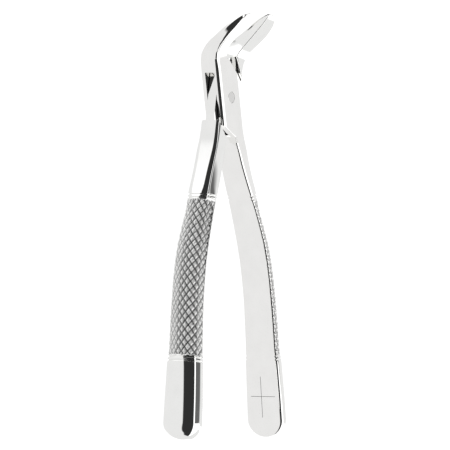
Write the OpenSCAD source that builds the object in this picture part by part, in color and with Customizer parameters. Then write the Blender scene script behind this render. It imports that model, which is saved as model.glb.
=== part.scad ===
// Tooth extraction forceps with a box joint: a slotted half, a tongue half and a flush pivot pin.
// Millimetres. X = opening direction, Y = long axis (beaks towards +Y), Z = hinge axis.
// The origin lies on the hinge axis, on the flat underside of the joint.

/* [Opening] */
// Angle of each half away from the closed position, degrees
open_half = 10.3; // [0:0.1:15]

/* [Joint] */
// Thickness of the joint along the hinge axis
joint_t = 9.1; // [7:0.1:12]
// Half width of the joint
joint_hw = 6.73; // [5:0.05:9]
// Edge radius of the joint bar
joint_r = 1.75; // [0.5:0.05:3]
// Half height of the slot that takes the tongue
slot_hh = 2.2; // [1.5:0.05:3]
// Gap between parts that move past each other
gap = 0.3; // [0.1:0.05:0.6]
// Reach of the slotted plates above the hinge, on the middle line
plate_top = 15.0; // [12:0.1:18]
// Height of the shoulder at the side, above the hinge
shoulder_side = 7.1; // [5:0.1:10]
// Depth of the lower shoulder at the side, below the hinge
shoulder_low = 9.8; // [6:0.1:13]
// Depth of the lower shoulder on the middle line, below the hinge
shoulder_low_mid = 15.8; // [13:0.1:18]
// Side height of the posts that close the slot
post_side = 10.9; // [9:0.1:13]

/* [Pivot] */
// Radius of the pivot pin
pin_r = 2.2; // [1.5:0.05:3]
// Radial running clearance in the tongue
pin_play = 0.05; // [0.02:0.01:0.1]

/* [Handle] */
// Distance from the hinge to the handle end
handle_len = 136; // [110:1:160]
// Half width of the flat inner face near the end
handle_hw = 8.2; // [6:0.1:10]
// Thickness of the handle near the end
handle_t = 6.7; // [5:0.1:9]
// Sideways rise of the handle's middle line at the end
handle_rise = 1.6; // [0:0.1:3]
// Depth of the ring grooves
ring_depth = 0.35; // [0:0.05:0.8]

/* [Beak] */
// Bend of the beak out of the flat, degrees
beak_bend = 50; // [20:1:80]
// Depth of the hollow in the inner beak face
beak_hollow = 0.9; // [0:0.1:2]
// Gap left to the middle line at the tips when closed
tip_gap = 0.2; // [0.15:0.05:0.6]

/* [Hidden] */
ht = joint_t / 2;

// tables run along Y and are read with lookup()
function in_face(y) = lookup(-y, [[15,0.35],[17.5,0.4],[21,0.95],[27.5,1.9],[32.5,2.95],[37.4,4.1],[40.7,4.95],[47,6.45],[54,7.8],[60,8.75],[67,9.35],[75,9.3],[83,8.95],[92,8.15],[101,7.2],[120,5.4],[136,4.0]]);
function thick(y) = lookup(-y, [[13,joint_hw-0.42],[16,joint_hw-0.42],[17.5,6.44],[21,6.45],[27.5,6.6],[32.5,6.55],[37.4,6.5],[47,6.55],[60,6.6],[75,6.7],[83,handle_t],[136,handle_t]]);
function hw_in(y) = lookup(-y, [[13,ht-0.05],[16,ht-0.05],[18,ht+0.2],[22,5.05],[28,5.4],[34,5.7],[40,6.0],[47,6.4],[54,6.7],[61,6.95],[70,7.0],[83,7.05],[93,7.25],[101,7.35],[103.5,7.45],[105,handle_hw-0.5],[112,handle_hw-0.25],[120,handle_hw],[128,handle_hw+0.15],[136,handle_hw+0.2]]);
// how far the side runs in towards the outer edge
function side_in(y) = lookup(-y, [[13,0],[20,0.2],[30,0.9],[38,1.1],[50,0.6],[75,0.1],[100,0],[136,0]]);
// radii of the rounded outer edge: next to the crown, next to the side, and the rim of the inner face
function r_crown(y) = lookup(-y, [[13,joint_r+0.2],[16,joint_r+0.25],[20.5,2.5],[30,3.1],[38,3.6],[44,6.0],[50,8.0],[100,8.0],[106,6.5],[136,6.4]]);
function r_side(y) = lookup(-y, [[13,joint_r+0.3],[16,joint_r+0.1],[18,1.1],[21,0.6],[38,0.9],[44,3.0],[50,6.0],[100,6.0],[106,4.9],[136,4.9]]);
function r_rim(y) = lookup(-y, [[13,0.45],[18,0.45],[22,0.75],[28,0.9],[50,1.0],[136,1.0]]);
function mid_z(y) = lookup(-y, [[30,0],[42,0.25],[80,0.95],[120,handle_rise-0.1],[136,handle_rise]]);
// end rounding factors, in width and in thickness
function end_w(y) = let(e = handle_len + y) e > 6.5 ? 1 : sqrt(max(0.002, 1 - pow(1 - e / 6.5, 2)));
function end_t(y) = let(e = handle_len + y) e > 5.5 ? 1 : 0.35 + 0.65 * sqrt(max(0, 1 - pow(1 - e / 5.5, 2)));
// double ring groove at both ends of the grip
function ring(y) = let(d = min(min(abs(y + 40.2), abs(y + 41.5)), min(abs(y + 104.3), abs(y + 105.7)))) d < 0.3 ? ring_depth * (1 - d / 0.3) : 0;

// outline of a handle section at station y: [x, z], closed position, handle on the +X side
function handle_sec(y) =
  let(a = in_face(y), g = ring(y), et = end_t(y), s = end_w(y), t = thick(y) * et - g, w = hw_in(y) * s - g, z0 = mid_z(y),
      c = min(r_rim(y) * s, 0.45 * t), w2 = max(0.05, w - side_in(y) * s), ra = r_crown(y), rb = r_side(y), q = sqrt(0.5),
      depth = ra * (1 - q) + rb * q, height = ra * q + rb * (1 - q),
      kx = min(1, (t - c - 0.35 * et) / depth), kz = min(1, 0.97 * w2 / height),
      xb = t - kx * depth, zb = w2 - kz * rb, xa = t - kx * ra, za = w2 - kz * height,
      half = concat([[0, w - c], [0.29 * c, w - 0.29 * c], [c, w]],
                    [for (v = [90, 67.5, 45]) [xb + rb * kx * cos(v), zb + rb * kz * sin(v)]],
                    [for (v = [30, 15, 0]) [xa + ra * kx * cos(v), za + ra * kz * sin(v)]]))
  [for (i = [0:8]) [a + half[i][0], z0 - half[i][1]], for (i = [8:-1:0]) [a + half[i][0], z0 + half[i][1]]];

handle_ys = concat([for (y = [13:2.5:38]) -y], [-39.4, -39.9, -40.2, -40.5, -40.85, -41.2, -41.5, -41.8, -42.4],
                   [for (y = [46:4.5:101]) -y], [-103.4, -104, -104.3, -104.6, -105, -105.4, -105.7, -106, -106.8],
                   [for (y = [110:4.5:128]) -y], [for (e = [6.5, 5, 3.8, 2.7, 1.8, 1.1, 0.6, 0.25, 0]) e - handle_len]);

// skin over rings of points, all rings of one length
module skin(rings) {
  n = len(rings[0]); m = len(rings);
  polyhedron(points = [for (r = rings) each r],
    faces = concat([[for (i = [0:n-1]) i]], [[for (i = [n-1:-1:0]) (m-1)*n + i]],
      [for (j = [0:m-2], i = [0:n-1]) [j*n+i, (j+1)*n+i, (j+1)*n+(i+1)%n]],
      [for (j = [0:m-2], i = [0:n-1]) [j*n+i, (j+1)*n+(i+1)%n, j*n+(i+1)%n]]), convexity = 6);
}

// handle on the +X side, about the joint's middle plane
module handle() {
  skin([for (y = handle_ys) [for (p = handle_sec(y)) [p[0], y, p[1]]]]);
}

// beak stations on the -X side: [y, z, turn, reach to the under side, reach to the outer side, inner x, outer x, hollow]
function uv(u, lo, up) = let(m = (lo + up) / 2) [u * cos(beak_bend) - m * sin(beak_bend), u * sin(beak_bend) + m * cos(beak_bend), beak_bend, (lo - up) / 2];
function st(u, lo, up, ai, ao, h) = let(q = uv(u, lo, up)) [q[0], q[1], q[2], q[3], q[3], ai, ao, h];
beak_st = [
  [12.2, 0, 0, ht - 0.05, ht - 0.05, 0.35, joint_hw - 0.05, 0.06], [14.5, 0.12, 3, 4.5, 4.45, 0.35, 6.95, 0.06], [16.6, 0.5, 9, 4.3, 4.3, 0.4, 7.4, 0.06],
  [18.6, 1.55, 18, 3.85, 3.85, 0.75, 7.85, 0.1], [20.4, 2.75, 27, 3.4, 3.35, 1.15, 8.25, 0.3], [21.9, 4.3, 37, 2.95, 2.9, 1.45, 8.8, 0.55],
  [23.5, 6.3, 45, 2.55, 2.5, 1.35, 9.2, 0.75],
  st(23.4, -11.6, -16.05, 1.0, 9.4, beak_hollow), st(25.4, -11.75, -15.85, 0.7, 9.3, beak_hollow), st(27.4, -11.9, -15.7, 0.45, 8.95, beak_hollow * 0.9), st(29.3, -12.05, -15.5, 0.28, 8.35, beak_hollow * 0.8),
  st(30.9, -12.25, -15.25, tip_gap, 7.75, beak_hollow * 0.6), st(32.2, -12.5, -14.95, tip_gap, 7.0, beak_hollow * 0.45), st(33.3, -12.75, -14.7, tip_gap, 6.2, beak_hollow * 0.3), st(34.1, -13.0, -14.45, tip_gap + 0.05, 5.2, 0.15), st(34.7, -13.4, -14.15, tip_gap + 0.3, 4.1, 0.05)];

function beak_sec(s) =
  let(lo = s[3], up = s[4], ai = s[5], ao = s[6], h = s[7], w = lo + up, r = min(1.3, w * 0.32, (ao - ai) * 0.4),
      prof = [[ai, -up + 0.15 * r], [ai + h * 0.75, -up + w * 0.3], [ai + h, -up + w * 0.5], [ai + h * 0.75, lo - w * 0.3], [ai, lo - 0.15 * r], [ai + 0.15 * r, lo],
              [ai + (ao - ai) * 0.5, lo + 0.02], [ao - r, lo], [ao - r * 0.3, lo - r * 0.3], [ao, lo - r],
              [ao + 0.02, 0], [ao, -up + r], [ao - r * 0.3, -up + r * 0.3], [ao - r, -up], [ai + (ao - ai) * 0.5, -up - 0.02], [ai + 0.15 * r, -up]])
  [for (p = prof) [-p[0], s[0] - p[1] * sin(s[2]), s[1] + p[1] * cos(s[2])]];

module beak() {
  skin([for (i = [len(beak_st)-1:-1:0]) beak_sec(beak_st[i])]);
}

// bar with rounded long edges, along Y, about the joint's middle plane
module bar(y0, y1, hw) {
  for (sx = [-1, 1], sz = [-1, 1])
    translate([sx * (hw - joint_r), y0, sz * (ht - joint_r)]) rotate([-90, 0, 0]) cylinder(h = y1 - y0, r = joint_r, $fn = 64);
  translate([-hw + joint_r, y0, -ht]) cube([2 * (hw - joint_r), y1 - y0, joint_t]);
  translate([-hw, y0, -ht + joint_r]) cube([2 * hw, y1 - y0, joint_t - 2 * joint_r]);
}

module prism(pts, z0, z1) {
  translate([0, 0, z0]) linear_extrude(z1 - z0) polygon(pts);
}

big = 30;
// outline of the slotted half at the joint, beak on the -X side
slot_outline = [[-big, shoulder_side + 4], [-big, -shoulder_low], [-joint_hw, -shoulder_low], [-2.9, -13.4], [0.35, -shoulder_low_mid], [0.35, -17.5], [big, -17.5],
                [big, shoulder_side], [joint_hw, shoulder_side], [1.2, plate_top], [-0.9, plate_top + 1.2], [-0.9, plate_top], [-big, plate_top]];
// parts of the tongue half outside the slotted plates, beak on the +X side
upper_root = [[0.35, 16.9], [0.35, plate_top + gap + 0.95], [1.2 + gap * 0.82, plate_top + gap * 0.58], [joint_hw + gap * 0.82, shoulder_side + gap * 0.58], [big, shoulder_side + gap * 0.6], [big, 16.9]];
lower_root = [[-big, -shoulder_low - gap * 1.3], [-joint_hw, -shoulder_low - gap * 1.3], [-2.9 - gap * 0.6, -13.4 - gap * 0.9], [-0.35, -shoulder_low_mid - gap * 1.6], [-0.35, -17.5], [-big, -17.5]];
// room kept clear of the tongue half's beak and handle for the slotted plates
beak_clear = [[-big, -14], [-big, plate_top + gap + 0.95], [0.35, plate_top + gap + 0.95], [1.2 + gap * 0.82, plate_top + gap * 0.58], [joint_hw + gap * 0.82, shoulder_side + gap * 0.58], [big, shoulder_side + gap * 0.6], [big, -14]];
handle_clear = [[-big, 14], [-big, -shoulder_low - gap * 1.3], [-joint_hw, -shoulder_low - gap * 1.3], [-2.9 - gap * 0.6, -13.4 - gap * 0.9], [-0.35, -shoulder_low_mid - gap * 1.6], [big, -shoulder_low_mid - gap * 1.6], [big, 14]];
// the tongue between the posts
tongue_outline = [[-big, post_side - gap * 1.2], [-joint_hw, post_side - gap * 1.2], [-0.35, plate_top - gap * 1.2], [1.0, plate_top + 1.5], [big, plate_top + 1.5],
                  [big, -post_side + gap * 1.2], [joint_hw, -post_side + gap * 1.2], [0.35, -plate_top + gap * 1.2], [-1.0, -plate_top - 2], [-big, -plate_top - 2]];
// room cut for the tongue, between the posts of the slotted half
slot_room = [[-big, post_side - 8], [-joint_hw, post_side], [-0.35, plate_top], [-0.35, big], [big, big],
             [big, -post_side + 8], [joint_hw, -post_side], [0.35, -plate_top], [0.35, -big], [-big, -big]];

module slotted_half_closed() {
  difference() {
    union() {
      intersection() {
        bar(-17.5, 17.5, joint_hw);
        prism(slot_outline, -ht, ht);
      }
      handle();
      beak();
    }
    intersection() {
      prism(slot_room, -slot_hh, slot_hh);
      translate([-joint_hw - 1, -16.6, -slot_hh]) cube([2 * joint_hw + 2, 32.9, 2 * slot_hh]);
    }
    translate([0, 0, -ht - 1]) cylinder(h = joint_t + 2, r = pin_r, $fn = 96);
  }
}

module tongue_half_closed() {
  difference() {
    union() {
      intersection() {
        bar(-17.5, 17.5, joint_hw);
        union() {
          prism(upper_root, -ht, ht);
          prism(lower_root, -ht, ht);
          prism(tongue_outline, -slot_hh + gap, slot_hh - gap);
        }
      }
      difference() {
        mirror([1, 0, 0]) beak();
        prism(beak_clear, -10, 10);
      }
      difference() {
        mirror([1, 0, 0]) handle();
        prism(handle_clear, -10, 10);
      }
    }
    translate([0, 0, -ht - 1]) cylinder(h = joint_t + 2, r = pin_r + pin_play, $fn = 96);
  }
}

module slotted_half() {
  color([0.80, 0.81, 0.82]) translate([0, 0, ht]) rotate([0, 0, open_half]) slotted_half_closed();
}

module tongue_half() {
  color([0.78, 0.79, 0.80]) translate([0, 0, ht]) rotate([0, 0, -open_half]) tongue_half_closed();
}

module pivot_pin() {
  color([0.74, 0.75, 0.77]) cylinder(h = joint_t, r = pin_r, $fn = 96);
}

slotted_half();
tongue_half();
pivot_pin();
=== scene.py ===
import math

import bmesh
import bpy
import numpy as np
from mathutils import Matrix, Vector


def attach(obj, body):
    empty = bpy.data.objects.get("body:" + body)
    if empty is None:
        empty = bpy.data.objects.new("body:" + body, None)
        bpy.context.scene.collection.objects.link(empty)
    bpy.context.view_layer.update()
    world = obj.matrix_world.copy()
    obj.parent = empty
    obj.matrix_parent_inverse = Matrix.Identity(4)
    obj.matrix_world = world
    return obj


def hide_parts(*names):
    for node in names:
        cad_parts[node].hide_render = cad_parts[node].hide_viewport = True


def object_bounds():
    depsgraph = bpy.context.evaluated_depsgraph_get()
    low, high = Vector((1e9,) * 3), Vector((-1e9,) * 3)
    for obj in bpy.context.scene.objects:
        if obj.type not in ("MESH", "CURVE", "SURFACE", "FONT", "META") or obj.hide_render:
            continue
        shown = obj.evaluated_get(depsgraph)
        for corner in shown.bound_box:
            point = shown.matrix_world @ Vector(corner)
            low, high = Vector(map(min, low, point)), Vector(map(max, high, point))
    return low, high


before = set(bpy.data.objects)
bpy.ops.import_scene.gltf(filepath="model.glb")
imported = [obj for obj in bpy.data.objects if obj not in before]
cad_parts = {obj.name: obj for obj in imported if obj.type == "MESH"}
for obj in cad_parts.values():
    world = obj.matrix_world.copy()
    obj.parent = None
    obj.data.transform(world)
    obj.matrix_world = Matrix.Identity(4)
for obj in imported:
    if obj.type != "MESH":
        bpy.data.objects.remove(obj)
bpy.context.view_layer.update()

MM = 0.001
OPEN = math.radians(10.3)      # each half's turn from closed to the rest pose
HT = 4.55                      # half thickness of the joint, mm
HW = 6.73                      # half width of the joint, mm
JR = 1.75                      # edge radius of the joint
SLOT = 2.2                     # half height of the slot
GAP = 0.3
PIN_R = 2.2
PV, CELLS, SUB = 3.37, 4, 16   # knurl: pitch along the handle, cells over half the outline, mesh steps in a cell
KN0, KN1 = -42.0, -103.94      # knurled zone
KNURL = 0.42                   # knurl height, mm

# ---------------------------------------------------------------- smooth tables


def smooth(xs, ys, sigma, step=0.05):
    xs, ys = np.array(xs, float), np.array(ys, float)
    pad = 4 * sigma
    g = np.arange(xs[0] - pad, xs[-1] + pad + step, step)
    v = np.interp(g, xs, ys)
    s0 = (ys[1] - ys[0]) / (xs[1] - xs[0])
    s1 = (ys[-1] - ys[-2]) / (xs[-1] - xs[-2])
    v = np.where(g < xs[0], ys[0] + (g - xs[0]) * s0, v)
    v = np.where(g > xs[-1], ys[-1] + (g - xs[-1]) * s1, v)
    k = np.arange(-int(3 * sigma / step), int(3 * sigma / step) + 1) * step
    w = np.exp(-0.5 * (k / sigma) ** 2)
    v = np.convolve(v, w / w.sum(), mode="same")
    return lambda x: np.interp(x, g, v)


def table(rows, sigma=2.2):
    f = smooth([r[0] for r in rows], [r[1] for r in rows], sigma)
    return lambda y: float(f(max(-y, rows[0][0])))


in_face = table([[15, 0.37], [19, 0.37], [21, 0.9], [27.5, 1.9], [32.5, 2.95], [37.4, 4.1], [40.7, 4.95], [47, 6.45], [54, 7.8], [60, 8.75], [67, 9.35],
                 [75, 9.3], [83, 8.95], [92, 8.15], [101, 7.2], [120, 5.4], [136, 4.0]], 0.9)
outer = table([[0, 6.73], [12, 6.73], [15, 6.76], [18, 6.9], [21, 7.4], [27.5, 8.5], [32.5, 9.5], [37.4, 10.6], [40.7, 11.5], [47, 13.0], [54, 14.4], [60, 15.35], [67, 16.0],
               [75, 16.0], [83, 15.65], [92, 14.9], [101, 13.9], [120, 12.1], [136, 10.7]], 1.8)
hw_in = table([[0, HT], [13, HT], [18, 4.75], [22, 5.05], [28, 5.4], [34, 5.7], [40, 6.0], [47, 6.4], [54, 6.7], [61, 6.95], [70, 7.0], [83, 7.05], [93, 7.25], [101, 7.35], [103.5, 7.45], [105, 7.7], [112, 7.95],
               [120, 8.2], [128, 8.35], [136, 8.4]], 0.9)
side_in = table([[0, 0], [13, 0], [20, 0.2], [30, 0.9], [38, 1.1], [50, 0.6], [75, 0.1], [100, 0.0], [136, 0.0]], 2.0)
r_crown = table([[0, JR], [13, JR], [20.5, 2.5], [30, 3.1], [38, 3.6], [44, 6.0], [50, 8.0], [100, 8.0], [106, 6.5], [136, 6.4]], 1.5)     # arc from the crown to half way round
r_side = table([[0, JR], [13, JR], [17.5, 1.1], [21, 0.6], [38, 0.9], [44, 3.0], [50, 6.0], [100, 6.0], [106, 4.9], [136, 4.9]], 1.2)      # arc from there to the side
r_rim = table([[0, 0.5], [15, 0.5], [17.5, 0.8], [20, 1.0], [28, 1.1], [136, 1.15]], 1.2)
mid_z = table([[0, 0], [30, 0], [42, 0.25], [80, 0.95], [120, 1.5], [136, 1.6]], 3.0)
RINGS = (-40.2, -41.5, -104.3, -105.7)

# ---------------------------------------------------------------- beak path, closed position, beak on -X
BEND = math.radians(50)


def st(u, lo, up, ai, ao, h):
    m = (lo + up) / 2
    return [u * math.cos(BEND) - m * math.sin(BEND), u * math.sin(BEND) + m * math.cos(BEND), 50, (lo - up) / 2, (lo - up) / 2, ai, ao, h]


BEAK = [
    [8.0, 0, 0, HT, HT, .37, HW, 0], [12.2, 0, 0, HT, HT, .37, HW, 0], [14.5, .12, 3, 4.5, 4.45, .37, 6.95, 0], [16.6, .5, 9, 4.3, 4.3, .4, 7.4, 0],
    [18.6, 1.55, 18, 3.85, 3.85, .75, 7.85, .1], [20.4, 2.75, 27, 3.4, 3.35, 1.15, 8.25, .3], [21.9, 4.3, 37, 2.95, 2.9, 1.45, 8.8, .55],
    [23.5, 6.3, 45, 2.55, 2.5, 1.35, 9.2, .75],
    st(23.4, -11.6, -16.05, 1.0, 9.4, 0.9), st(25.4, -11.75, -15.85, .7, 9.3, 0.9), st(27.4, -11.9, -15.7, .45, 8.95, 0.8), st(29.3, -12.05, -15.5, .28, 8.35, 0.7),
    st(30.9, -12.25, -15.25, .2, 7.75, 0.55), st(32.2, -12.5, -14.95, .2, 7.0, 0.4), st(33.3, -12.75, -14.7, .2, 6.2, 0.28), st(34.1, -13.0, -14.45, .25, 5.2, 0.15), st(34.7, -13.4, -14.15, .5, 4.1, 0.05)]
_b = np.array(BEAK, float)
_d = np.concatenate([[0], np.cumsum(np.hypot(np.diff(_b[:, 0]), np.diff(_b[:, 1])))])
_sig = [0.9, 0.9, 1.0, 0.6, 0.6, 0.5, 0.5, 0.6]
_f = [smooth(_d, _b[:, i], _sig[i], 0.03) for i in range(8)]
BEAK_LEN = float(_d[-1])


def beak_at(d):
    return [float(f(d)) for f in _f]


# ---------------------------------------------------------------- sections
K_IN, K_RIM, K_OUT = 4, 12, CELLS * SUB
K = K_IN + K_RIM + K_OUT
N = 2 * K


def resample(p, n):
    d = np.concatenate([[0], np.cumsum(np.hypot(*np.diff(p, axis=0).T))])
    t = np.linspace(0, d[-1], n + 1)
    return np.stack([np.interp(t, d, p[:, 0]), np.interp(t, d, p[:, 1])], 1)


def half_ring(xl, w, rim, body):
    """Half outline from the left middle (xl, 0) over the rim of radius rim to the curve body, a list of points from (xl+rim, w) to the right middle."""
    a = np.array([[xl, (w - rim) * i / K_IN] for i in range(K_IN + 1)])
    t = np.linspace(0, math.pi / 2, K_RIM + 1)[1:]
    b = np.stack([xl + rim * (1 - np.cos(t)), w - rim + rim * np.sin(t)], 1)
    c = resample(np.array(body, float), K_OUT)[1:]
    return np.concatenate([a, b, c])


def corner(x0, z0, x1, z1, n, count=60):
    """Superellipse quarter from (x0, z0), heading along x, to (x1, z1), heading along z."""
    t = np.linspace(0, math.pi / 2, count)
    return [(x0 + (x1 - x0) * math.sin(a) ** (2 / n), z1 + (z0 - z1) * math.cos(a) ** (2 / n)) for a in t]


def full_ring(h):
    """Closed outline: the half, then its mirror image in v. The last point of the half stays single."""
    return np.concatenate([h, (h * [1, -1])[-2:0:-1]])


def handle_ring(y, closed_side=True):
    e = 136 + y
    ew = 1.0 if e > 6.5 else math.sqrt(max(0.0, 1 - (1 - e / 6.5) ** 2))
    et = 1.0 if e > 5.5 else 0.30 + 0.70 * math.sqrt(max(0.0, 1 - (1 - e / 5.5) ** 2))
    ew = max(ew, 0.012)
    a = in_face(y) if closed_side else -HW
    o = outer(y)
    g = 0.0
    for r in RINGS:
        q = abs(y - r) / 0.34
        if q < 1:
            g = 0.36 * (1 - q ** 1.4)
    t = (o - in_face(y)) * et - g
    w = hw_in(y) * ew - g * min(1.0, ew)
    x0 = in_face(y)
    rim = min(r_rim(y) * ew, 0.45 * t)
    w2 = w - side_in(y) * ew
    ra, rb = r_crown(y), r_side(y)
    q = math.sqrt(0.5)
    depth, height = ra * (1 - q) + rb * q, ra * q + rb * (1 - q)
    kx = min(1.0, (t - rim - 0.02) / depth)
    kz = min(1.0, 0.97 * w2 / height)
    kx, kz = kx * (et if et < 1 else 1), kz
    wf = w2 - height * kz
    xs = x0 + t - depth * kx
    n_side = 8
    body = []
    for k in range(n_side):
        f = k / n_side
        body.append((x0 + rim + f * (xs - x0 - rim), w + (w2 - w) * f ** 1.4))
    ang = np.linspace(math.pi / 2, math.pi / 4, 30)
    cx, cz = t + x0 - kx * (ra * (1 - q) + rb * q), w2 - rb * kz
    for v in ang:
        body.append((cx + rb * kx * math.cos(v), cz + rb * kz * math.sin(v)))
    ang = np.linspace(math.pi / 4, 0, 30)[1:]
    cx, cz = t + x0 - kx * ra, wf
    for v in ang:
        body.append((cx + ra * kx * math.cos(v), cz + ra * kz * math.sin(v)))
    body.append((x0 + t, 0))
    return half_ring(a, w, rim if closed_side else JR, body)


def joint_ring(y):
    return handle_ring(y, closed_side=False)


def sheet_normals(h):
    d = np.gradient(h, axis=0)
    n = np.stack([-d[:, 1], d[:, 0]], 1)
    return n / np.maximum(np.linalg.norm(n, axis=1, keepdims=True), 1e-9)


def knurl_height(i, j):
    """Crossed V grooves: i steps round the outline, j steps along the handle, both in mesh steps."""
    a = (i + j) / SUB
    b = (i - j) / SUB
    fa, fb = abs(a - round(a)), abs(b - round(b))
    return min(1.0, 2.15 * min(fa, fb))


def beak_ring(d, wide=False):
    y, z, turn, lo, up, ai, ao, h = beak_at(d)
    w = (lo + up) / 2
    v0 = (lo - up) / 2
    rim = JR + (1.35 - JR) * min(1, max(0, (d - 5) / 6))
    rim = min(rim, 0.62 * w, 0.42 * (ao - ai))
    if wide:
        start = float(np.interp(d, [7.9, 8.9], [in_face(0) + r_rim(0), -ao + JR]))
        body = [(start, w)] + corner(HW - JR, w, HW, w - JR, 2.0) + [(HW, 0)]
        half = half_ring(-ao, w, JR, body)
    else:
        r2 = min(0.32, 0.3 * w, 0.3 * (ao - ai))
        body = [(-ao + rim, w)] + corner(-ai - r2, w, -ai, w - r2, 2.0, 16)
        h = 0.45 * max(h, 0.0)
        for q in np.linspace(1, 0, 40)[1:]:
            body.append((-ai - h * (1 - q * q) ** 1.15, (w - r2) * q))
        half = half_ring(-ao, w, rim, body)
    return half, y, z, math.radians(turn), v0


# ---------------------------------------------------------------- skins


def place(half, y, z=0.0, turn=0.0, v0=0.0):
    r = full_ring(half)
    v = r[:, 1] + v0
    return np.stack([r[:, 0], y - v * math.sin(turn), z + v * math.cos(turn)], 1)


def handle_rows():
    rows = []
    e = 6.5 * (1 - np.cos(np.linspace(0, math.pi / 2, 26)))
    rows += list(-136 + e)
    rows += list(np.arange(-129.5 + 0.8, -106.3, 0.8))
    rows += list(np.arange(-106.2, -103.97, 0.1))
    n = int(round((KN0 - KN1) / (PV / SUB)))
    rows += list(KN1 + np.arange(n + 1) * (PV / SUB))
    rows += list(np.arange(KN0 + 0.1, -39.75, 0.1))
    rows += list(np.arange(-39.4, -22.3, 0.55))
    rows += [-22.0]
    return sorted(set(round(float(r), 5) for r in rows))


def handle_skin():
    rings, depth = [], []
    j0 = None
    for y in handle_rows():
        h = handle_ring(y)
        dep = np.zeros(len(h))
        if KN1 - 1e-4 <= y <= KN0 + 1e-4:
            j = int(round((y - KN1) / (PV / SUB)))
            n = sheet_normals(h)
            edge = min(1.0, (y - KN1) / 0.5, (KN0 - y) / 0.5)
            for i in range(len(h)):
                c = K - i            # steps from the middle of the crown
                lim = min(1.0, max(0.0, (i - K_IN - K_RIM * 0.5) / 4.0))
                dep[i] = knurl_height(c, j)
                h[i] += n[i] * (dep[i] - 0.88) * KNURL * lim * max(0.0, edge)
                dep[i] = 2 - (2 - dep[i]) * lim * max(0.0, edge)
        else:
            dep[:] = 2
        rings.append(place(h, y, mid_z(y)))
        depth.append(np.concatenate([dep, dep[-2:0:-1]]))
    return rings, depth


def front_skin():
    rings = []
    for y in (-22.0, -21.5, -21.0, -20.5, -20.0, -19.5, -19.0, -18.5, -18.1):
        rings.append(place(handle_ring(float(y)), float(y), mid_z(float(y))))
    for y in np.concatenate([[-17.6], np.arange(-16.5, 7.6, 1.0)]):
        rings.append(place(joint_ring(float(y)), float(y), 0))
    jump = 9.0
    for d in np.concatenate([np.linspace(0.4, 7.9, 8), np.linspace(8.1, jump, 6)]):
        rings.append(place(*beak_ring(float(d), True)))
    last = BEAK_LEN - 2.2
    ds = np.concatenate([np.arange(jump + 0.4, last, 0.36), np.linspace(last, BEAK_LEN, 16)])
    for d in ds:
        rings.append(place(*beak_ring(float(d))))
    c = rings[-1].mean(0)
    ahead = rings[-1].mean(0) - rings[-2].mean(0)
    ahead = ahead / np.linalg.norm(ahead)
    base = rings[-1]
    for s, f in ((0.9, 0.14), (0.68, 0.26), (0.38, 0.32), (0.1, 0.34)):
        rings.append(c + (base - c) * s + ahead * f)
    return rings


def skin_mesh(name, rings, cap0, cap1, depth=None, flip=False):
    pts = np.concatenate(rings)
    if flip:
        pts = pts * [-1, 1, 1]
    m = len(rings)
    faces = []
    for j in range(m - 1):
        for i in range(N):
            a, b = j * N + i, j * N + (i + 1) % N
            f = (a, b, b + N, a + N)
            faces.append(f[::-1] if flip else f)
    if cap0:
        f = tuple(range(N))[::-1]
        faces.append(f[::-1] if flip else f)
    if cap1:
        f = tuple((m - 1) * N + i for i in range(N))
        faces.append(f[::-1] if flip else f)
    me = bpy.data.meshes.new(name)
    me.from_pydata((pts * MM).tolist(), [], faces)
    at = me.attributes.new("knurl", "FLOAT", "POINT")
    at.data.foreach_set("value", np.full(len(pts), 2.0, np.float32) if depth is None else np.concatenate(depth).astype(np.float32))
    bm = bmesh.new()
    bm.from_mesh(me)
    bmesh.ops.remove_doubles(bm, verts=bm.verts, dist=1e-7)
    bmesh.ops.dissolve_degenerate(bm, dist=1e-8, edges=bm.edges)
    if cap0 and cap1:
        bmesh.ops.recalc_face_normals(bm, faces=bm.faces)
    bm.to_mesh(me)
    bm.free()
    return me


def link(me, name=None):
    o = bpy.data.objects.new(name or me.name, me)
    bpy.context.scene.collection.objects.link(o)
    return o


def prism(name, pts, z0, z1):
    bm = bmesh.new()
    lo = [bm.verts.new((x * MM, y * MM, z0 * MM)) for x, y in pts]
    hi = [bm.verts.new((x * MM, y * MM, z1 * MM)) for x, y in pts]
    n = len(pts)
    bm.faces.new(lo[::-1])
    bm.faces.new(hi)
    for i in range(n):
        bm.faces.new((lo[i], lo[(i + 1) % n], hi[(i + 1) % n], hi[i]))
    bmesh.ops.recalc_face_normals(bm, faces=bm.faces)
    me = bpy.data.meshes.new(name)
    bm.to_mesh(me)
    bm.free()
    return link(me)


def offset(pts, d):
    """Moves each side of a counter-clockwise polygon outwards by d."""
    out = []
    n = len(pts)
    for i in range(n):
        p0, p, p1 = (np.array(pts[(i + k) % n], float) for k in (-1, 0, 1))
        a, b = p - p0, p1 - p
        na = np.array([a[1], -a[0]]) / np.linalg.norm(a)
        nb = np.array([b[1], -b[0]]) / np.linalg.norm(b)
        m = na + nb
        m = m / max(np.dot(m, m), 0.5) * 2
        out.append(tuple(p + m * d))
    return out


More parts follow.
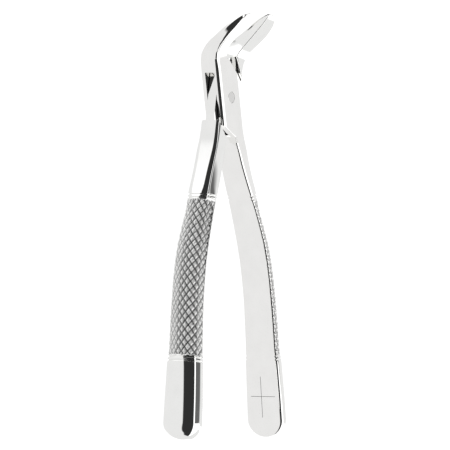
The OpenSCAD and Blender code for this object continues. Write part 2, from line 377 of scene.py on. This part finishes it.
def round_cutter(name, pts, z0, z1, r):
    """Prism whose sides flare out near the top and bottom faces of the joint, so that it leaves rounded edges of radius r."""
    area = sum(pts[i - 1][0] * pts[i][1] - pts[i][0] * pts[i - 1][1] for i in range(len(pts)))
    if area < 0:
        pts = pts[::-1]
    levels = []
    arc = [(HT - r + r * math.sin(t), r * (1 - math.cos(t))) for t in np.linspace(0, math.pi / 2, 7)]
    top = [(z, d) for z, d in arc[:-1]] + [(HT + 0.0001, r * 1.0), (HT + 1.5, r)]
    for z, d in [(-z, d) for z, d in top[::-1]] + top:
        if z0 < z < z1:
            levels.append((z, d))
    ends = [(z0, levels[0][1])] + levels + [(z1, levels[-1][1])]
    bm = bmesh.new()
    rings = [[bm.verts.new((x * MM, y * MM, z * MM)) for x, y in offset(pts, d)] for z, d in ends]
    n = len(pts)
    bm.faces.new(rings[0][::-1])
    bm.faces.new(rings[-1])
    for a, b in zip(rings, rings[1:]):
        for i in range(n):
            bm.faces.new((a[i], a[(i + 1) % n], b[(i + 1) % n], b[i]))
    bmesh.ops.recalc_face_normals(bm, faces=bm.faces)
    me = bpy.data.meshes.new(name)
    bm.to_mesh(me)
    bm.free()
    return link(me)


def rod(name, r, z0, z1, n=96):
    return prism(name, [(r * math.cos(2 * math.pi * i / n), r * math.sin(2 * math.pi * i / n)) for i in range(n)], z0, z1)


def cut(obj, tools):
    for t in tools:
        m = obj.modifiers.new("cut", "BOOLEAN")
        m.operation, m.object = "DIFFERENCE", t
        m.solver = "EXACT"
        bpy.context.view_layer.update()
        dg = bpy.context.evaluated_depsgraph_get()
        me = bpy.data.meshes.new_from_object(obj.evaluated_get(dg))
        obj.modifiers.clear()
        old = obj.data
        obj.data = me
        bm = bmesh.new()
        bm.from_mesh(me)
        print("cut by", t.name, "volume mm3", round(bm.calc_volume() * 1e9, 1), "odd edges", sum(1 for e in bm.edges if not e.is_manifold))
        bm.free()
        bpy.data.meshes.remove(old)
    for t in tools:
        me = t.data
        bpy.data.objects.remove(t)
        bpy.data.meshes.remove(me)


def finish_half(name, front, handle_rings, depth, flip, turn):
    """Joins the cut front part and the handle at y = -22 and turns the half to the rest pose."""
    bm = bmesh.new()
    bm.from_mesh(front.data)
    seam = [f for f in bm.faces if all(abs(v.co.y + 0.022) < 1e-7 for v in f.verts)]
    bmesh.ops.delete(bm, geom=seam, context="FACES_ONLY")
    lay = bm.verts.layers.float.get("knurl") or bm.verts.layers.float.new("knurl")
    for v in bm.verts:
        v[lay] = 2.0
    hm = skin_mesh(name + "_handle", handle_rings, True, False, depth, flip)
    bm.from_mesh(hm)
    bpy.data.meshes.remove(hm)
    ring = [v for v in bm.verts if abs(v.co.y + 0.022) < 1e-7]
    bmesh.ops.remove_doubles(bm, verts=ring, dist=2e-6)
    loose = [v for v in bm.verts if not v.link_faces]
    bmesh.ops.delete(bm, geom=loose, context="VERTS")
    bmesh.ops.recalc_face_normals(bm, faces=bm.faces)
    bm.transform(Matrix.Translation((0, 0, HT * MM)) @ Matrix.Rotation(turn, 4, "Z"))
    me = bpy.data.meshes.new(name)
    bm.to_mesh(me)
    open_edges = sum(1 for e in bm.edges if len(e.link_faces) != 2)
    print(name, "faces", len(me.polygons), "open or odd edges", open_edges)
    bm.free()
    for p in me.polygons:
        p.use_smooth = True
    me.set_sharp_from_angle(angle=math.radians(32))
    data = front.data
    bpy.data.objects.remove(front)
    bpy.data.meshes.remove(data)
    return link(me, name)


HR, HD = handle_skin()
FR = front_skin()

# slotted half: beak on -X, handle on +X
front_s = link(skin_mesh("front_s", FR, True, True))
cut(front_s, [
    round_cutter("low", [(-30, -9.8), (-HW, -9.8), (-2.9, -13.4), (0.35, -15.8), (0.35, -19), (-30, -19)], -30, 30, 0.3),
    round_cutter("up", [(30, 7.1), (HW, 7.1), (1.2, 15.0), (-0.35, 15.886), (-0.35, 19.5), (30, 19.5)], -30, 30, 0.3),
    prism("slot", [(-9, 9.44), (-HW, 10.9), (-0.35, 15), (-0.35, 19.4), (9, 19.4), (9, -9.44), (HW, -10.9), (0.35, -15), (0.35, -19), (-9, -19)], -SLOT, SLOT),
    rod("bore_s", PIN_R + 0.02, -30, 30)])
slotted = finish_half("slotted_half_steel", front_s, HR, HD, False, OPEN)

# tongue half: the mirror image
front_t = link(skin_mesh("front_t", FR, True, True, flip=True))
middle = [(-30, -10.19), (-HW, -10.19), (-3.08, -13.67), (-0.35, -16.28), (-0.35, -19), (30, -19), (30, 7.28), (6.976, 7.274), (1.446, 15.174), (0.35, 16.25), (0.35, 19.5), (-30, 19.5)]
cut(front_t, [
    prism("up_t", [(-30, 10.54), (-HW, 10.54), (-0.35, 14.64), (0.35, 15.6), (0.35, 19.4), (-30, 19.4)], -30, 30),
    prism("low_t", [(30, -10.54), (HW, -10.54), (0.35, -14.64), (-0.35, -15.864), (-0.35, -18.9), (30, -18.9)], -30, 30),
    round_cutter("over", middle, SLOT - GAP, 30, 0.3),
    round_cutter("under", middle, -30, -SLOT + GAP, 0.3),
    rod("bore_t", PIN_R + 0.05, -30, 30)])
tongue = finish_half("tongue_half_steel", front_t, HR, HD, True, -OPEN)


def lathe(name, prof, n=96):
    bm = bmesh.new()
    rings = []
    for r, z in prof:
        if r < 1e-6:
            rings.append([bm.verts.new((0, 0, z * MM))])
        else:
            rings.append([bm.verts.new((r * MM * math.cos(2 * math.pi * i / n), r * MM * math.sin(2 * math.pi * i / n), z * MM)) for i in range(n)])
    for a, b in zip(rings, rings[1:]):
        for i in range(n):
            k = (i + 1) % n
            if len(a) == 1:
                bm.faces.new((a[0], b[i], b[k]))
            elif len(b) == 1:
                bm.faces.new((a[i], a[k], b[0]))
            else:
                bm.faces.new((a[i], a[k], b[k], b[i]))
    bmesh.ops.recalc_face_normals(bm, faces=bm.faces)
    me = bpy.data.meshes.new(name)
    bm.to_mesh(me)
    bm.free()
    for p in me.polygons:
        p.use_smooth = True
    me.set_sharp_from_angle(angle=math.radians(40))
    return link(me)


pr = [(0, 0.02), (1.2, 0.02), (2.04, 0.02), (2.10, 0.03), (2.16, 0.07), (2.19, 0.13), (2.19, 1.5), (2.19, 7.6), (2.19, 8.97), (2.16, 9.03), (2.10, 9.07), (2.04, 9.08), (1.2, 9.08), (0, 9.08)]
pin = lathe("pivot_pin_steel", pr)

# scribed cross on the inner face of the slotted half's handle: a long line along the handle, a short one across
cross = bmesh.new()


def scribe(points, width):
    """A thin line lying 0.012 mm proud of the inner face, through (y, z) points in the closed position."""
    pts = [np.array([in_face(y) - 0.012, y, mid_z(y) + z]) for y, z in points]
    for a, b in zip(pts, pts[1:]):
        d = (b - a) / np.linalg.norm(b - a)
        s = np.cross(d, [1, 0, 0]) * width / 2
        top = [a - s, a + s, b + s, b - s]
        vs = [cross.verts.new(tuple(p * MM)) for p in top] + [cross.verts.new(tuple((p + [0.03, 0, 0]) * MM)) for p in top]
        for f in ((0, 1, 2, 3), (7, 6, 5, 4), (0, 4, 5, 1), (1, 5, 6, 2), (2, 6, 7, 3), (3, 7, 4, 0)):
            cross.faces.new([vs[k] for k in f])


scribe([(-112.3 - i * 1.34, -0.8) for i in range(13)], 0.17)
scribe([(-120.1, -5.7 + i * 1.13) for i in range(11)], 0.17)
bmesh.ops.recalc_face_normals(cross, faces=cross.faces)
cross.transform(Matrix.Translation((0, 0, HT * MM)) @ Matrix.Rotation(OPEN, 4, "Z"))
me = bpy.data.meshes.new("scribed_cross")
cross.to_mesh(me)
cross.free()
mark = link(me)

# ---------------------------------------------------------------- materials


def tree(name):
    m = bpy.data.materials.new(name)
    m.use_nodes = True
    t = m.node_tree
    for n in list(t.nodes):
        t.nodes.remove(n)
    out = t.nodes.new("ShaderNodeOutputMaterial")
    b = t.nodes.new("ShaderNodeBsdfPrincipled")
    t.links.new(b.outputs[0], out.inputs[0])
    return m, t, b


def steel(name, colour, rough, knurl=False):
    m, t, b = tree(name)
    N_, L = t.nodes.new, t.links.new
    b.inputs["Metallic"].default_value = 1.0
    tc = N_("ShaderNodeTexCoord")
    mp = N_("ShaderNodeMapping")
    mp.inputs["Scale"].default_value = (1.0, 0.12, 1.0)
    L(tc.outputs["Object"], mp.inputs["Vector"])
    # fine polishing lines along the handle
    fine = N_("ShaderNodeTexNoise")
    fine.inputs["Scale"].default_value = 9000
    fine.inputs["Detail"].default_value = 3
    L(mp.outputs[0], fine.inputs["Vector"])
    # faint clouding of the polish
    cloud = N_("ShaderNodeTexNoise")
    cloud.inputs["Scale"].default_value = 160
    cloud.inputs["Detail"].default_value = 4
    L(tc.outputs["Object"], cloud.inputs["Vector"])
    mixr = N_("ShaderNodeMath"); mixr.operation = "MULTIPLY_ADD"
    mixr.inputs[1].default_value = 0.05
    mixr.inputs[2].default_value = rough
    L(cloud.outputs["Fac"], mixr.inputs[0])
    rr = mixr.outputs[0]
    ramp = N_("ShaderNodeValToRGB")
    ramp.color_ramp.elements[0].position = 0.3
    ramp.color_ramp.elements[0].color = (*[c * 0.965 for c in colour], 1)
    ramp.color_ramp.elements[1].position = 0.7
    ramp.color_ramp.elements[1].color = (*colour, 1)
    L(cloud.outputs["Fac"], ramp.inputs["Fac"])
    col = ramp.outputs["Color"]
    if knurl:
        at = N_("ShaderNodeAttribute")
        at.attribute_name = "knurl"
        # painted shade in the knurl: the steel colour is multiplied down to 0.27 at the groove bottoms, where the knurl
        # attribute falls to 0, and by 1.2 elsewhere
        painted_groove_shade = N_("ShaderNodeValToRGB")
        painted_groove_shade.color_ramp.elements[0].position = 0.0
        painted_groove_shade.color_ramp.elements[0].color = (0.27, 0.27, 0.275, 1)
        painted_groove_shade.color_ramp.elements[1].position = 0.42
        painted_groove_shade.color_ramp.elements[1].color = (1.2, 1.2, 1.2, 1)
        L(at.outputs["Fac"], painted_groove_shade.inputs["Fac"])
        mul = N_("ShaderNodeMix"); mul.data_type = "RGBA"; mul.blend_type = "MULTIPLY"
        mul.inputs["Factor"].default_value = 1.0
        L(col, mul.inputs["A"])
        L(painted_groove_shade.outputs["Color"], mul.inputs["B"])
        col = mul.outputs["Result"]
        # light caught on the crests and by the satin flanks of the knurl
        glow = N_("ShaderNodeMapRange")
        glow.inputs["From Min"].default_value, glow.inputs["From Max"].default_value = 0.15, 0.6
        glow.inputs["To Min"].default_value, glow.inputs["To Max"].default_value = 0.0, 0.85
        L(at.outputs["Fac"], glow.inputs["Value"])
        off = N_("ShaderNodeMapRange")
        off.inputs["From Min"].default_value, off.inputs["From Max"].default_value = 1.0, 1.5
        off.inputs["To Min"].default_value, off.inputs["To Max"].default_value = 1.0, 0.0
        L(at.outputs["Fac"], off.inputs["Value"])
        lit = N_("ShaderNodeMath"); lit.operation = "MULTIPLY"
        L(glow.outputs[0], lit.inputs[0])
        L(off.outputs[0], lit.inputs[1])
        inv = N_("ShaderNodeMath"); inv.operation = "SUBTRACT"
        inv.inputs[0].default_value = 1.0
        L(lit.outputs[0], inv.inputs[1])
        L(inv.outputs[0], b.inputs["Metallic"])
        # the cut grip is less polished than the rest
        grip = N_("ShaderNodeMapRange")
        grip.inputs["From Min"].default_value, grip.inputs["From Max"].default_value = 1.0, 1.7
        grip.inputs["To Min"].default_value, grip.inputs["To Max"].default_value = 0.22, 0.0
        L(at.outputs["Fac"], grip.inputs["Value"])
        add = N_("ShaderNodeMath"); add.operation = "ADD"
        L(rr, add.inputs[0])
        L(grip.outputs[0], add.inputs[1])
        rr = add.outputs[0]
    L(col, b.inputs["Base Color"])
    L(rr, b.inputs["Roughness"])
    bump = N_("ShaderNodeBump")
    bump.inputs["Strength"].default_value = 0.05
    bump.inputs["Distance"].default_value = 0.00001
    L(fine.outputs["Fac"], bump.inputs["Height"])
    L(bump.outputs[0], b.inputs["Normal"])
    return m


chrome_s = steel("polished_steel_slotted", (0.805, 0.80, 0.79), 0.035, True)
chrome_t = steel("polished_steel_tongue", (0.80, 0.80, 0.79), 0.035, True)
chrome_p = steel("polished_steel_pin", (0.795, 0.79, 0.78), 0.04)

etch, t, b = tree("etched_line")
b.inputs["Metallic"].default_value = 1.0
n = t.nodes.new("ShaderNodeTexNoise")
n.inputs["Scale"].default_value = 2500
r = t.nodes.new("ShaderNodeValToRGB")
r.color_ramp.elements[0].color = (0.05, 0.05, 0.055, 1)
r.color_ramp.elements[1].color = (0.16, 0.16, 0.17, 1)
t.links.new(n.outputs["Fac"], r.inputs["Fac"])
t.links.new(r.outputs["Color"], b.inputs["Base Color"])
b.inputs["Roughness"].default_value = 0.5

for o, m, body, node, slot in ((slotted, chrome_s, "slotted_side", "slotted_half", "steel_slotted"), (tongue, chrome_t, "tongue_side", "tongue_half", "steel_tongue"),
                               (pin, chrome_p, "slotted_side", "pivot_pin", "steel_pin")):
    o.data.materials.append(m)
    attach(o, body)
    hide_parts(node)
mark.data.materials.append(etch)
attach(mark, "slotted_side")

# ---------------------------------------------------------------- floor, light, camera
lo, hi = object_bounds()
zf = lo[2] - 0.0002
bm = bmesh.new()
bmesh.ops.create_grid(bm, x_segments=4, y_segments=4, size=3.0)
me = bpy.data.meshes.new("floor")
bm.to_mesh(me)
bm.free()
floor = link(me)
floor.location = (0, 0, zf)
fm, t, b = tree("floor_matt")
n = t.nodes.new("ShaderNodeTexNoise")
n.inputs["Scale"].default_value = 3
r = t.nodes.new("ShaderNodeValToRGB")
r.color_ramp.elements[0].color = (0.24, 0.24, 0.24, 1)
r.color_ramp.elements[1].color = (0.26, 0.26, 0.26, 1)
t.links.new(n.outputs["Fac"], r.inputs["Fac"])
t.links.new(r.outputs["Color"], b.inputs["Base Color"])
b.inputs["Roughness"].default_value = 0.9
b.inputs["Specular IOR Level"].default_value = 0.1
b.inputs["Emission Color"].default_value = (1, 1, 1, 1)
b.inputs["Emission Strength"].default_value = 0.94
floor.data.materials.append(fm)
floor.visible_glossy = False      # polished steel reflects the studio, as on a raised glass table

world = bpy.data.worlds.new("studio")
bpy.context.scene.world = world
world.use_nodes = True
t = world.node_tree
for n in list(t.nodes):
    t.nodes.remove(n)
W = t.nodes.new
out = W("ShaderNodeOutputWorld")
bg = W("ShaderNodeBackground")
tc = W("ShaderNodeTexCoord")
sx = W("ShaderNodeSeparateXYZ")
t.links.new(tc.outputs["Generated"], sx.inputs[0])
neg = W("ShaderNodeMath"); neg.operation = "MULTIPLY"; neg.inputs[1].default_value = -1
t.links.new(sx.outputs["X"], neg.inputs[0])
ang = W("ShaderNodeMath"); ang.operation = "ARCTAN2"
t.links.new(sx.outputs["Z"], ang.inputs[0])
t.links.new(neg.outputs[0], ang.inputs[1])
mr = W("ShaderNodeMapRange")
mr.inputs["From Min"].default_value = -math.pi
mr.inputs["From Max"].default_value = math.pi
t.links.new(ang.outputs[0], mr.inputs["Value"])


def strips(stops):
    """Grey strips round the Y axis, by angle from -X towards +Z."""
    r = W("ShaderNodeValToRGB")
    el = r.color_ramp.elements
    while len(el) > 1:
        el.remove(el[-1])
    el[0].position = (stops[0][0] + 180) / 360
    el[0].color = (stops[0][1],) * 3 + (1,)
    for d, v in stops[1:]:
        e = el.new((d + 180) / 360)
        e.color = (v, v, v, 1)
    t.links.new(mr.outputs[0], r.inputs["Fac"])
    return r.outputs["Color"]


def band(value, lo, hi):
    """0 below lo, 1 above hi, smooth between; the other way round if lo > hi."""
    r = W("ShaderNodeMapRange")
    r.interpolation_type = "SMOOTHSTEP"
    r.inputs["From Min"].default_value, r.inputs["From Max"].default_value = lo, hi
    t.links.new(value, r.inputs["Value"])
    return r.outputs[0]


def times(a, b):
    r = W("ShaderNodeMath")
    r.operation = "MULTIPLY"
    t.links.new(a, r.inputs[0])
    t.links.new(b, r.inputs[1])
    return r.outputs[0]


def blend(fac, a, b):
    r = W("ShaderNodeMix")
    r.data_type = "RGBA"
    t.links.new(fac, r.inputs["Factor"])
    t.links.new(a, r.inputs["A"])
    if isinstance(b, float):
        r.inputs["B"].default_value = (b, b, b, 1)
    else:
        t.links.new(b, r.inputs["B"])
    return r.outputs["Result"]


GREY = .565
ahead = strips([(-180, GREY), (-21, GREY), (-16, .02), (59, .02), (62, 1.0), (69, 1.0), (73, .09), (114, .09), (126, GREY), (180, GREY)])
behind = strips([(-180, GREY), (-21, GREY), (-16, .02), (59, .02), (62, 1.0), (82, 1.0), (112, 1.0), (126, GREY), (180, GREY)])
sky = blend(band(sx.outputs["Y"], -.03, .02), behind, ahead)
# a lighter panel low down on the +Y side
low = times(band(sx.outputs["Y"], .42, .75), times(band(sx.outputs["Z"], -.30, -.42), band(sx.outputs["Z"], -.85, -.6)))
sky = blend(low, sky, 1.0)
# a lighter panel behind, on the -Y side
sky = blend(times(band(sx.outputs["X"], .4, .55), times(band(sx.outputs["Y"], -.2, -.32), band(sx.outputs["Y"], -.6, -.5))), sky, 1.0)
lp = W("ShaderNodeLightPath")
mix = W("ShaderNodeMix"); mix.data_type = "RGBA"
t.links.new(lp.outputs["Is Camera Ray"], mix.inputs["Factor"])
t.links.new(sky, mix.inputs["A"])
mix.inputs["B"].default_value = (0.66, 0.66, 0.66, 1)
t.links.new(mix.outputs["Result"], bg.inputs["Color"])
bg.inputs["Strength"].default_value = 1.5
t.links.new(bg.outputs[0], out.inputs[0])

bpy.context.scene.view_settings.view_transform = "Standard"

EL = math.radians(34)
DIST = 2.4
c = Vector((-math.cos(EL), 0, math.sin(EL)))
right = Vector((math.sin(EL), 0, math.cos(EL)))
up = Vector((0, 1, 0))
target = Vector((0, -0.0497, 0.00455)) + right * 0.00121
cam_data = bpy.data.cameras.new("camera")
cam_data.sensor_fit = "HORIZONTAL"
cam_data.sensor_width = 36
cam_data.lens = 36 * DIST / 0.1755
cam_data.clip_start, cam_data.clip_end = 0.05, 20
cam = bpy.data.objects.new("camera", cam_data)
bpy.context.scene.collection.objects.link(cam)
cam.matrix_world = Matrix(((right.x, up.x, c.x, target.x + c.x * DIST), (right.y, up.y, c.y, target.y + c.y * DIST), (right.z, up.z, c.z, target.z + c.z * DIST), (0, 0, 0, 1)))
bpy.context.scene.camera = cam
